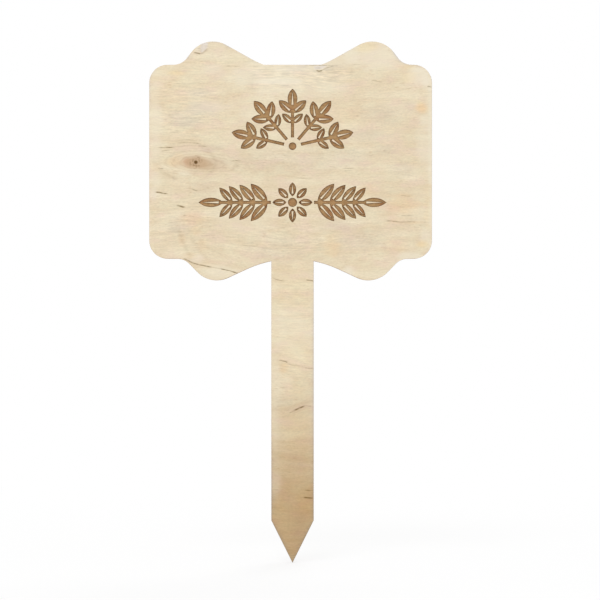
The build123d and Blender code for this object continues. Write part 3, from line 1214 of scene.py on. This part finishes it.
def wood_marks_group():
    """Stains, checks, knots, torn patches, and the rim's scorch and painted shade on a face veneer.
    """
    masks = ("Blush", "Amber", "Mineral", "Bleach", "Check", "Torn", "Rim")
    inputs = (
        ("Wood", "Color", PLAIN_BIRCH),
        ("Place", "Vector"),
        ("Knot Place", "Vector"),
        *((mask, "Float", 0.0) for mask in masks),
    )
    tree, given, out = new_group("Wood Marks", inputs, SURFACE_OUTPUTS[:2])
    share = maths(tree, "MULTIPLY", given["Bleach"], STAIN_SHARE)
    colour = mix(tree, share, given["Wood"], BLEACHED_BIRCH)
    for name, tint in STAIN_TINTS:
        share = maths(tree, "MULTIPLY", given[name], STAIN_SHARE)
        colour = mix(tree, share, colour, tint, "MULTIPLY")
    colour, core = knot_layers(tree, colour, given["Place"], given["Knot Place"])
    colour = mix(tree, maths(tree, "MULTIPLY", given["Torn"], 0.80), colour, TORN_BIRCH)
    # The rim darkens with laser scorch and painted edge shade
    colour = mix(tree, given["Rim"], colour, SCORCH_AND_EDGE_SHADE_TINT, "MULTIPLY")
    sunken = maths(tree, "MAXIMUM", given["Check"], core)
    # Open checks, and the painted shadow line along the chip's step, darken the wood
    feed(tree, out["Colour"], mix(tree, given["Check"], colour, OPEN_CHECK_AND_SHADOW_LINE))
    feed(tree, out["Height"], maths(tree, "SUBTRACT", 1.0, sunken))


def laser_burn_group():
    """Wood that a laser has burnt: a golden to dark brown char that keeps a trace of the grain."""
    inputs = (
        ("Wood", "Color", PLAIN_BIRCH),
        ("Place", "Vector"),
        ("Char", "Float", 0.5),
        ("Golden Char", "Color", shown(196, 158, 110)),
        ("Dark Char", "Color", shown(110, 78, 48)),
    )
    tree, given, out = new_group("Laser Burn", inputs, SURFACE_OUTPUTS)
    flecks = streaks(tree, given["Place"], 2.6, 1.8, 71.0, 3.0, 0.6)
    fibres = streaks(tree, given["Place"], 5.0, 0.35, 83.0, 3.0)
    reds = streaks(tree, given["Place"], 9.0, 5.0, 97.0, 1.0)
    share = swayed(tree, swayed(tree, given["Char"], flecks, 0.9), fibres, 0.5)
    char = mix(tree, ramp(tree, share, 0.0, 1.0), given["Golden Char"], given["Dark Char"])
    red_share = ramp(tree, reds, 0.45, 0.75, 0.0, 0.5)
    char = mix(tree, red_share, char, REDDISH_CHAR_TINT, "MULTIPLY")
    feed(tree, out["Colour"], mix(tree, 0.12, char, given["Wood"], "MULTIPLY"))
    feed(tree, out["Height"], maths(tree, "ADD", flecks, fibres))
    feed(tree, out["Roughness"], ramp(tree, flecks, 0.3, 0.7, 0.62, 0.82))


def cut_edge_group():
    """Edge that the laser cut: toasted wood with fine lines along the beam, darker on end grain."""
    inputs = (
        ("Place", "Vector"),
        ("End Grain", "Float", 0.5),
        ("Toasted Wood", "Color", shown(182, 140, 96)),
        ("Burnt Wood", "Color", shown(112, 76, 48)),
    )
    tree, given, out = new_group("Cut Edge", inputs, SURFACE_OUTPUTS)
    lines = blotches(tree, stretched(tree, given["Place"], (3.2, 0.16, 3.2)), 1.0)
    smoke = blotches(tree, given["Place"], 0.09)
    share = maths(tree, "MULTIPLY_ADD", given["End Grain"], 0.62, 0.02)
    share = swayed(tree, swayed(tree, share, lines, 1.1), smoke, 0.9)
    burnt = ramp(tree, share, 0.0, 1.0)
    feed(tree, out["Colour"], mix(tree, burnt, given["Toasted Wood"], given["Burnt Wood"]))
    feed(tree, out["Height"], lines)
    feed(tree, out["Roughness"], ramp(tree, share, 0.0, 1.0, 0.55, 0.75))


# Materials

# Relief that a finish's bump stands for, in metres, and the low sheen of bare wood
SANDED_RELIEF = 0.00003
CHARRED_RELIEF = 0.00006
CUT_RELIEF = 0.00005
BARE_SHEEN = 0.25

PLAIN_WHITE = (1.0, 1.0, 1.0, 1.0)
FLOOR_WHITE = (0.9, 0.9, 0.9, 1.0)


def cleared_tree(owner):
    """Empty node tree of a material or a world."""
    owner.use_nodes = True
    owner.node_tree.nodes.clear()
    return owner.node_tree


def new_material(name):
    """Material with only a surface shader, its tree and that shader's inputs."""
    material = bpy.data.materials.new(name)
    tree = cleared_tree(material)
    shader = add_node(tree, "ShaderNodeBsdfPrincipled", {"Specular IOR Level": BARE_SHEEN})
    add_node(tree, "ShaderNodeOutputMaterial", {"Surface": shader.outputs["BSDF"]})
    return material, tree, shader.inputs


def finish_surface(tree, shader, colour, roughness, height, relief):
    """Feeds the shader its colour, its roughness and a bump whose relief is this deep."""
    sockets = {"Strength": 1.0, "Distance": relief, "Height": height}
    feed(tree, shader["Base Color"], colour)
    feed(tree, shader["Roughness"], roughness)
    feed(tree, shader["Normal"], add_node(tree, "ShaderNodeBump", sockets).outputs["Normal"])


def birch(tree, place, seed, wood, **more):
    """Outputs of the birch's grain in the wood's own colours."""
    sockets = {"Place": place, "Seed": seed, "Pale Wood": wood.pale, "Tan Wood": wood.tan}
    return use_group(tree, "Birch Grain", {**sockets, **more})


def face_material(name, seed, wood):
    """Sanded birch face with its marks, and painted shade on the stake towards its tip."""
    material, tree, shader = new_material(name)
    place = attribute(tree, "grain_mm", "Vector")
    grain = birch(tree, place, seed, wood, Figure=attribute(tree, "figure"))
    # Painted shade: the lower stake darkens towards its tip, as if the light fell off there
    up = parts_of(tree, object_place(tree))[2]
    level = swayed(tree, up, streaks(tree, place, 40.0, 14.0, seed + 3.0, 1.0), 0.02)
    painted_tip_shade = ramp(tree, level, 0.020, 0.122, 1.0, 0.0)
    colour = mix(tree, painted_tip_shade, grain["Colour"], wood.painted_tip_shade, "MULTIPLY")
    knot_place = attribute(tree, "knot_place", "Vector")
    sockets = {"Wood": colour, "Place": place, "Knot Place": knot_place}
    for mark in (*STAINS, "check", "torn", "rim"):
        sockets[mark.title()] = attribute(tree, mark)
    marks = use_group(tree, "Wood Marks", sockets)
    height = maths(tree, "MULTIPLY_ADD", marks["Height"], 2.0, grain["Height"])
    finish_surface(tree, shader, marks["Colour"], grain["Roughness"], height, SANDED_RELIEF)
    return material


def engraved_material(name, seed, wood, burn):
    """Floor and walls of the engraving, its swept lines, and char with painted shade by the walls.
    """
    material, tree, shader = new_material(name)
    place = attribute(tree, "grain_mm", "Vector")
    # Char and painted shade: the engraving darkens towards its walls and on them
    char_and_shade_near_wall = ramp(tree, attribute(tree, "wall_mm"), 0.0, 0.55, 0.36, 0.0)
    sockets = {
        "Wood": birch(tree, place, seed, wood)["Colour"],
        "Place": place,
        "Char": maths(tree, "ADD", char_and_shade_near_wall, burn.floor_char),
        "Golden Char": burn.golden,
        "Dark Char": burn.dark,
    }
    burnt = use_group(tree, "Laser Burn", sockets)
    up = parts_of(tree, object_place(tree))[2]
    scan = maths(tree, "SINE", maths(tree, "MULTIPLY", up, 2 * pi / burn.scan_pitch))
    colour = scaled(tree, burnt["Colour"], maths(tree, "MULTIPLY_ADD", scan, 0.02, 1.0))
    height = maths(tree, "MULTIPLY_ADD", scan, 0.25, burnt["Height"])
    finish_surface(tree, shader, colour, burnt["Roughness"], height, CHARRED_RELIEF)
    return material


def cut_material(name, burn, grain_axis, shade):
    """Laser-cut edge of a veneer whose grain runs along this axis."""
    material, tree, shader = new_material(name)
    normal = add_node(tree, "ShaderNodeTexCoord").outputs["Normal"]
    sockets = {
        "Place": scaled(tree, object_place(tree), 1 / MM),
        "End Grain": maths(tree, "ABSOLUTE", parts_of(tree, normal)[grain_axis]),
        "Toasted Wood": shaded(burn.toasted, shade),
        "Burnt Wood": shaded(burn.burnt, shade),
    }
    edge = use_group(tree, "Cut Edge", sockets)
    finish_surface(tree, shader, edge["Colour"], edge["Roughness"], edge["Height"], CUT_RELIEF)
    return material


def glue_material(burn):
    """Dark film of glue, charred where the beam crossed it."""
    material, tree, shader = new_material("charred_glue")
    place = scaled(tree, object_place(tree), 1 / MM)
    patches = streaks(tree, place, 1.6, 1.6, 113.0, 2.0)
    shade = ramp(tree, patches, 0.3, 0.7, 0.75, 1.25)
    feed(tree, shader["Base Color"], scaled(tree, burn.glue[:3], shade))
    feed(tree, shader["Roughness"], ramp(tree, patches, 0.3, 0.7, 0.4, 0.6))
    return material


def seen_directly(tree):
    """Output that is 1 for what the camera sees, also in gloss or through glass."""
    rays = add_node(tree, "ShaderNodeLightPath").outputs
    seen = maths(tree, "MAXIMUM", rays["Is Camera Ray"], rays["Is Glossy Ray"])
    return maths(tree, "MAXIMUM", seen, rays["Is Transmission Ray"])


def floor_material(shadow):
    """White floor that shows the camera its shading only near the label."""
    material = bpy.data.materials.new("white_floor")
    tree = cleared_tree(material)
    sockets = {"Base Color": FLOOR_WHITE, "Roughness": 0.9, "Specular IOR Level": BARE_SHEEN}
    lit = add_node(tree, "ShaderNodeBsdfPrincipled", sockets).outputs["BSDF"]
    sockets = {"Color": PLAIN_WHITE, "Strength": 1.0}
    white = add_node(tree, "ShaderNodeEmission", sockets).outputs["Emission"]
    away = add_node(tree, "ShaderNodeVectorMath", {0: object_place(tree)}, operation="LENGTH")
    shading = ramp(tree, away.outputs["Value"], 0.05, 0.55, shadow, 0.0)
    share = maths(tree, "MULTIPLY", seen_directly(tree), maths(tree, "SUBTRACT", 1.0, shading))
    both = add_node(tree, "ShaderNodeMixShader", {0: share, 1: lit, 2: white}).outputs[0]
    add_node(tree, "ShaderNodeOutputMaterial", {"Surface": both})
    return material


def white_world(strength):
    """World that is plain white to the camera and lights the label softly."""
    world = bpy.data.worlds.new("white_world")
    tree = cleared_tree(world)
    level = ramp(tree, seen_directly(tree), 0.0, 1.0, strength, 1.0)
    sockets = {"Color": PLAIN_WHITE, "Strength": level}
    light = add_node(tree, "ShaderNodeBackground", sockets).outputs["Background"]
    add_node(tree, "ShaderNodeOutputWorld", {"Surface": light})
    return world


def dress_node(node, material):
    """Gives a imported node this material."""
    for material_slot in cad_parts[node].material_slots:
        material_slot.material = material


# Settings


def colour_setting(name, description, *on_screen):
    """Colour that a user can change, with its default as the screen shows it."""
    return FloatVectorProperty(
        name=name,
        description=description,
        default=shown(*on_screen),
        subtype="COLOR",
        size=4,
        min=0.0,
        max=1.0,
    )


def length_setting(name, description, default, least):
    """Length in metres that a user can change, and the least that it may be."""
    return FloatProperty(
        name=name, description=description, default=default, min=least, unit="LENGTH"
    )


def share_setting(name, description, default):
    """Share from 0 to 1 that a user can change."""
    return FloatProperty(
        name=name, description=description, default=default, min=0.0, max=1.0, subtype="FACTOR"
    )


def strength_setting(name, description, default):
    """Strength of a light that a user can change."""
    return FloatProperty(name=name, description=description, default=default, min=0.0)


class WoodSettings(bpy.types.PropertyGroup):
    """Colours of the birch, the painted shade of the lower stake, and sizes of its relief."""

    pale: colour_setting("Pale Wood", "Lightest bands of the birch", 240, 227, 199)
    tan: colour_setting("Tan Wood", "Darker bands of the birch", 223, 203, 170)
    # Painted shade that darkens the lower stake towards its tip
    painted_tip_shade: colour_setting("Painted Stake Shade", "Colour that darkens the lower stake", 214, 196, 172)
    point_step_along: length_setting(
        "Point Step Along",
        "Distance along the grain between the points of a face",
        0.0024,
        least=0.001,
    )
    point_step_across: length_setting(
        "Point Step Across",
        "Distance across the grain between the points of a face",
        0.00045,
        least=0.0003,
    )
    fibre_relief: length_setting(
        "Fibre Relief", "Depth of the fibres that sanding leaves", 0.000012, least=0.0
    )
    floor_relief: length_setting(
        "Floor Relief", "Height of the rough floor of the engraving", 0.00003, least=0.0
    )
    veneer_thickness: length_setting(
        "Veneer Thickness", "Thickness of a face veneer", 0.001, least=0.0001
    )
    engraving_depth: length_setting(
        "Engraving Depth", "Depth of the engraving below the front face", 0.0005, least=0.0001
    )
    edge_ease: length_setting(
        "Edge Ease", "Size of the worn-off corner round a face", 0.00025, least=0.00005
    )


class BurnSettings(bpy.types.PropertyGroup):
    """Colours and sizes of what the laser burnt."""

    golden: colour_setting("Golden Char", "Lightest parts of the engraving's floor", 196, 158, 110)
    dark: colour_setting("Dark Char", "Darkest parts of the engraving", 112, 80, 50)
    floor_char: share_setting(
        "Floor Char", "How dark the middle of the engraving's floor is", 0.36
    )
    scan_pitch: length_setting(
        "Scan Pitch", "Distance between the lines that the laser swept", 0.00025, least=0.0001
    )
    toasted: colour_setting("Toasted Wood", "Lightest parts of the cut edge", 188, 146, 102)
    burnt: colour_setting("Burnt Wood", "Darkest parts of the cut edge", 116, 80, 50)
    glue: colour_setting("Glue", "Film of glue between two veneers", 74, 50, 34)
    ridge_pitch: length_setting(
        "Ridge Pitch",
        "Distance along the outline between the ridges that the cut left",
        0.0004,
        least=0.0002,
    )
    ridge_width: length_setting("Ridge Width", "Width of one ridge", 0.00028, least=0.0001)
    ridge_height: length_setting(
        "Ridge Height", "How far a ridge stands out of the edge", 0.00004, least=0.00001
    )
    ridge_seed: IntProperty(
        name="Ridge Seed",
        description="Start of the random sizes of the ridges",
        default=7,
        min=0,
    )


class StageSettings(bpy.types.PropertyGroup):
    """Camera, floor and light."""

    camera_distance: length_setting(
        "Camera Distance", "Distance from the camera to the front face", 1.2925, least=0.3
    )
    camera_across: length_setting(
        "Camera Across",
        "How far the camera stands to the right of the stake's centreline",
        0.0043,
        least=-1.0,
    )
    camera_height: length_setting(
        "Camera Height", "Height of the camera above the floor", 0.15095, least=0.0
    )
    lens: FloatProperty(
        name="Lens",
        description="Focal length of the camera, for a 36 mm sensor",
        default=135.0,
        min=20.0,
        subtype="DISTANCE_CAMERA",
        unit="CAMERA",
    )
    floor_size: length_setting("Floor Size", "Side of the square floor", 8.0, least=1.0)
    world_light: strength_setting(
        "World Light", "Strength of the light that comes from all round", 0.74
    )
    key_light: strength_setting(
        "Key Light", "Power of the soft light in front of and above the label, in watts", 8.4
    )
    back_light: strength_setting(
        "Back Light", "Power of the soft light behind and above the label, in watts", 7.0
    )
    lamp_size: length_setting("Lamp Size", "Width of each of the soft lights", 0.8, least=0.01)
    floor_shadow: share_setting(
        "Floor Shadow", "How much of its own shading the white floor shows to the camera", 0.22
    )


# Geometry nodes

# A ridge's section is a triangle: its radius in shares of its side, and the least and the most of
# its width, height and length that a ridge gets
TRIANGLE_RADIUS = 0.577
RIDGE_SCALES = ((0.6, 0.35, 0.86), (1.25, 1.0, 0.98))


def ridge_tree():
    """Geometry nodes that set fine ridges across the board's edge, all along its outline."""
    inputs = (
        ("Geometry", "Geometry"),
        ("Ridge Pitch", "Float", 0.0004),
        ("Ridge Width", "Float", 0.00028),
        ("Ridge Height", "Float", 0.00004),
        ("Veneer Thickness", "Float", 0.001),
        ("Seed", "Int", 0),
        ("Material", "Material"),
    )
    outputs = (("Geometry", "Geometry"),)
    tree, given, out = new_group("Cut Ridges", inputs, outputs, kind="GeometryNodeTree")
    curve = add_node(tree, "GeometryNodeMeshToCurve", {"Mesh": given["Geometry"]}).outputs["Curve"]
    sockets = {"Curve": curve, "Length": given["Ridge Pitch"]}
    stops = add_node(tree, "GeometryNodeResampleCurve", sockets, mode="LENGTH").outputs["Curve"]
    tangent = add_node(tree, "GeometryNodeInputTangent").outputs["Tangent"]
    sockets = {0: (0.0, 1.0, 0.0), 1: tangent}
    axes = {"primary_axis": "Z", "secondary_axis": "X"}
    turn = add_node(tree, "FunctionNodeAxesToRotation", sockets, **axes).outputs["Rotation"]

    radius = maths(tree, "MULTIPLY", given["Ridge Width"], TRIANGLE_RADIUS)
    sockets = {"Vertices": 3, "Radius": radius, "Depth": given["Veneer Thickness"]}
    ridge = add_node(tree, "GeometryNodeMeshCylinder", sockets).outputs["Mesh"]
    sunk = maths(tree, "SUBTRACT", given["Ridge Height"], radius)
    shift = add_node(tree, "ShaderNodeCombineXYZ", {1: sunk}).outputs[0]
    sockets = {"Geometry": ridge, "Translation": shift, "Rotation": (0.0, 0.0, pi / 2)}
    ridge = add_node(tree, "GeometryNodeTransform", sockets).outputs["Geometry"]

    sockets = {0: RIDGE_SCALES[0], 1: RIDGE_SCALES[1], "Seed": given["Seed"]}
    scale = add_node(tree, "FunctionNodeRandomValue", sockets, data_type="FLOAT_VECTOR").outputs[0]
    sockets = {"Points": stops, "Instance": ridge, "Rotation": turn, "Scale": scale}
    ridges = add_node(tree, "GeometryNodeInstanceOnPoints", sockets).outputs["Instances"]
    ridges = add_node(tree, "GeometryNodeRealizeInstances", {"Geometry": ridges}).outputs[0]
    sockets = {"Geometry": ridges, "Material": given["Material"]}
    ridges = add_node(tree, "GeometryNodeSetMaterial", sockets).outputs["Geometry"]
    feed(tree, out["Geometry"], ridges)
    return tree


def linked(name, data):
    """New object for the data, in the scene."""
    item = bpy.data.objects.new(name, data)
    bpy.context.scene.collection.objects.link(item)
    return item


def run_tree(start, tree, name, values):
    """Object with the plain mesh that a geometry node tree makes from the start mesh."""
    holder = linked(name, start)
    modifier = holder.modifiers.new(tree.name, "NODES")
    modifier.node_group = tree
    for item in tree.interface.items_tree:
        if item.item_type == "SOCKET" and item.in_out == "INPUT" and item.name in values:
            modifier[item.identifier] = values[item.name]
    graph = bpy.context.evaluated_depsgraph_get()
    mesh = bpy.data.meshes.new_from_object(holder.evaluated_get(graph), depsgraph=graph)
    if not mesh.polygons:
        raise RuntimeError(tree.name + " made nothing for " + name)
    holder.modifiers.remove(modifier)
    holder.data = mesh
    mesh.name = name
    return holder


# Operators


def settings():
    """The label's settings on the scene."""
    scene = bpy.context.scene
    return scene.label_wood, scene.label_burn, scene.label_stage


def build_face(name, node, side, marks, materials):
    """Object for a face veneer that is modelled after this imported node."""
    mesh = face_veneer(name, node, side, placed(marks), settings()[0])
    for material in materials:
        mesh.materials.append(material)
    mesh.shade_smooth()
    mesh.set_sharp_from_angle(angle=radians(CREASE_ANGLE))
    piece = linked(name, mesh)
    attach(piece, "root")
    return piece


class LABEL_OT_shader_groups(bpy.types.Operator):
    """Build the effects that the materials share"""

    bl_idname = "label.shader_groups"
    bl_label = "Shared Effects"

    def execute(self, context):
        birch_grain_group()
        wood_marks_group()
        laser_burn_group()
        cut_edge_group()
        return {"FINISHED"}


class LABEL_OT_front_face(bpy.types.Operator):
    """Build the front face veneer with its engraving and the marks of its wood"""

    bl_idname = "label.front_face"
    bl_label = "Front Face"

    def execute(self, context):
        wood, burn, _ = settings()
        materials = (
            face_material("front_birch", 1.0, wood),
            cut_material("front_cut_edge", burn, 0, 1.0),
            engraved_material("engraved_birch", 1.0, wood, burn),
        )
        piece = build_face("front_face", "front_face_veneer", FRONT, FRONT_MARKS, materials)
        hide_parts("front_face_veneer")
        return {"FINISHED"}


class LABEL_OT_back_face(bpy.types.Operator):
    """Build the back face veneer with the marks of its wood"""

    bl_idname = "label.back_face"
    bl_label = "Back Face"

    def execute(self, context):
        wood, burn, _ = settings()
        materials = (
            face_material("back_birch", 131.0, wood),
            cut_material("back_cut_edge", burn, 0, 0.97),
        )
        piece = build_face("back_face", "back_face_veneer", BACK, BACK_MARKS, materials)
        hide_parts("back_face_veneer")
        return {"FINISHED"}


class LABEL_OT_inner_layers(bpy.types.Operator):
    """Give the crossbands, the core and the films of glue their laser-cut finish"""

    bl_idname = "label.inner_layers"
    bl_label = "Inner Layers"

    def execute(self, context):
        _, burn, _ = settings()
        crossband = cut_material("crossband_cut_edge", burn, 2, 0.98)
        dress_node("front_crossband", crossband)
        dress_node("back_crossband", crossband)
        dress_node("core_veneer", cut_material("core_cut_edge", burn, 0, 1.02))
        glue = glue_material(burn)
        for place in ("front_outer", "front_inner", "back_inner", "back_outer"):
            dress_node(place + "_glue_line", glue)
        return {"FINISHED"}


class LABEL_OT_cut_ridges(bpy.types.Operator):
    """Set the fine ridges that the laser left across the edge of each veneer"""

    bl_idname = "label.cut_ridges"
    bl_label = "Cut Ridges"

    def execute(self, context):
        _, burn, _ = settings()
        tree = ridge_tree()
        outline = board_outline("front_face_veneer", FRONT)
        edges = around(list(range(len(outline))))
        for number, (node, material, slot, trim) in enumerate(RIDGED_VENEERS):
            low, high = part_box(node)
            middle = (low.y + high.y) / 2 + trim
            line = bpy.data.meshes.new("ridge_line")
            line.from_pydata([(place.x * MM, middle, place.y * MM) for place in outline], edges, [])
            values = {
                "Ridge Pitch": burn.ridge_pitch,
                "Ridge Width": burn.ridge_width,
                "Ridge Height": burn.ridge_height,
                "Veneer Thickness": high.y - low.y - 2 * abs(trim),
                "Seed": burn.ridge_seed + number,
                "Material": bpy.data.materials[material],
            }
            piece = run_tree(line, tree, node + "_ridges", values)
            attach(piece, "root")
        return {"FINISHED"}


class LABEL_OT_stage(bpy.types.Operator):
    """Set up the floor, the light and the camera"""

    bl_idname = "label.stage"
    bl_label = "Stage"

    def execute(self, context):
        scene = context.scene
        _, _, stage = settings()
        half = stage.floor_size / 2
        mesh = bpy.data.meshes.new("floor")
        corners = [(-half, -half, 0), (half, -half, 0), (half, half, 0), (-half, half, 0)]
        mesh.from_pydata(corners, [], [(0, 1, 2, 3)])
        mesh.materials.append(floor_material(stage.floor_shadow))
        ground = linked("floor", mesh)
        scene.world = white_world(stage.world_light)

        for name, place in LAMPS:
            light = bpy.data.lights.new(name, "AREA")
            light.shape = "DISK"
            light.size = stage.lamp_size
            light.energy = getattr(stage, name)
            lamp = linked(name, light)
            lamp.location = place
            aim = LAMP_AIM - lamp.location
            lamp.rotation_euler = aim.to_track_quat("-Z", "Y").to_euler()

        view = bpy.data.cameras.new("camera")
        view.lens = stage.lens
        view.sensor_width = SENSOR_WIDTH
        view.clip_start = 0.01
        camera = linked("camera", view)
        front = cad_low.y - stage.camera_distance
        camera.location = (stage.camera_across, front, stage.camera_height)
        camera.rotation_euler = (radians(90), 0, 0)
        scene.camera = camera
        scene.view_settings.view_transform = "Standard"
        return {"FINISHED"}


class LABEL_PT_panel(bpy.types.Panel):
    """Lists the label's settings and the steps that build it"""

    bl_idname = "LABEL_PT_panel"
    bl_label = "Plant Label Stake"
    bl_space_type = "VIEW_3D"
    bl_region_type = "UI"
    bl_category = "Label"

    def draw(self, context):
        for group in settings():
            column = self.layout.column()
            for name in group.bl_rna.properties.keys():
                if name not in ("rna_type", "name"):
                    column.prop(group, name)
        for step in STEPS:
            self.layout.operator(step.bl_idname)


STEPS = (
    LABEL_OT_shader_groups,
    LABEL_OT_front_face,
    LABEL_OT_back_face,
    LABEL_OT_inner_layers,
    LABEL_OT_cut_ridges,
    LABEL_OT_stage,
)
CLASSES = (WoodSettings, BurnSettings, StageSettings, *STEPS, LABEL_PT_panel)


def register():
    for kind in CLASSES:
        bpy.utils.register_class(kind)
    bpy.types.Scene.label_wood = PointerProperty(type=WoodSettings)
    bpy.types.Scene.label_burn = PointerProperty(type=BurnSettings)
    bpy.types.Scene.label_stage = PointerProperty(type=StageSettings)


def unregister():
    del bpy.types.Scene.label_stage
    del bpy.types.Scene.label_burn
    del bpy.types.Scene.label_wood
    for kind in reversed(CLASSES):
        bpy.utils.unregister_class(kind)


def main():
    """Builds the label step by step."""
    register()
    for step in STEPS:
        group, name = step.bl_idname.split(".")
        getattr(getattr(bpy.ops, group), name)()


if __name__ == "__main__":
    main()
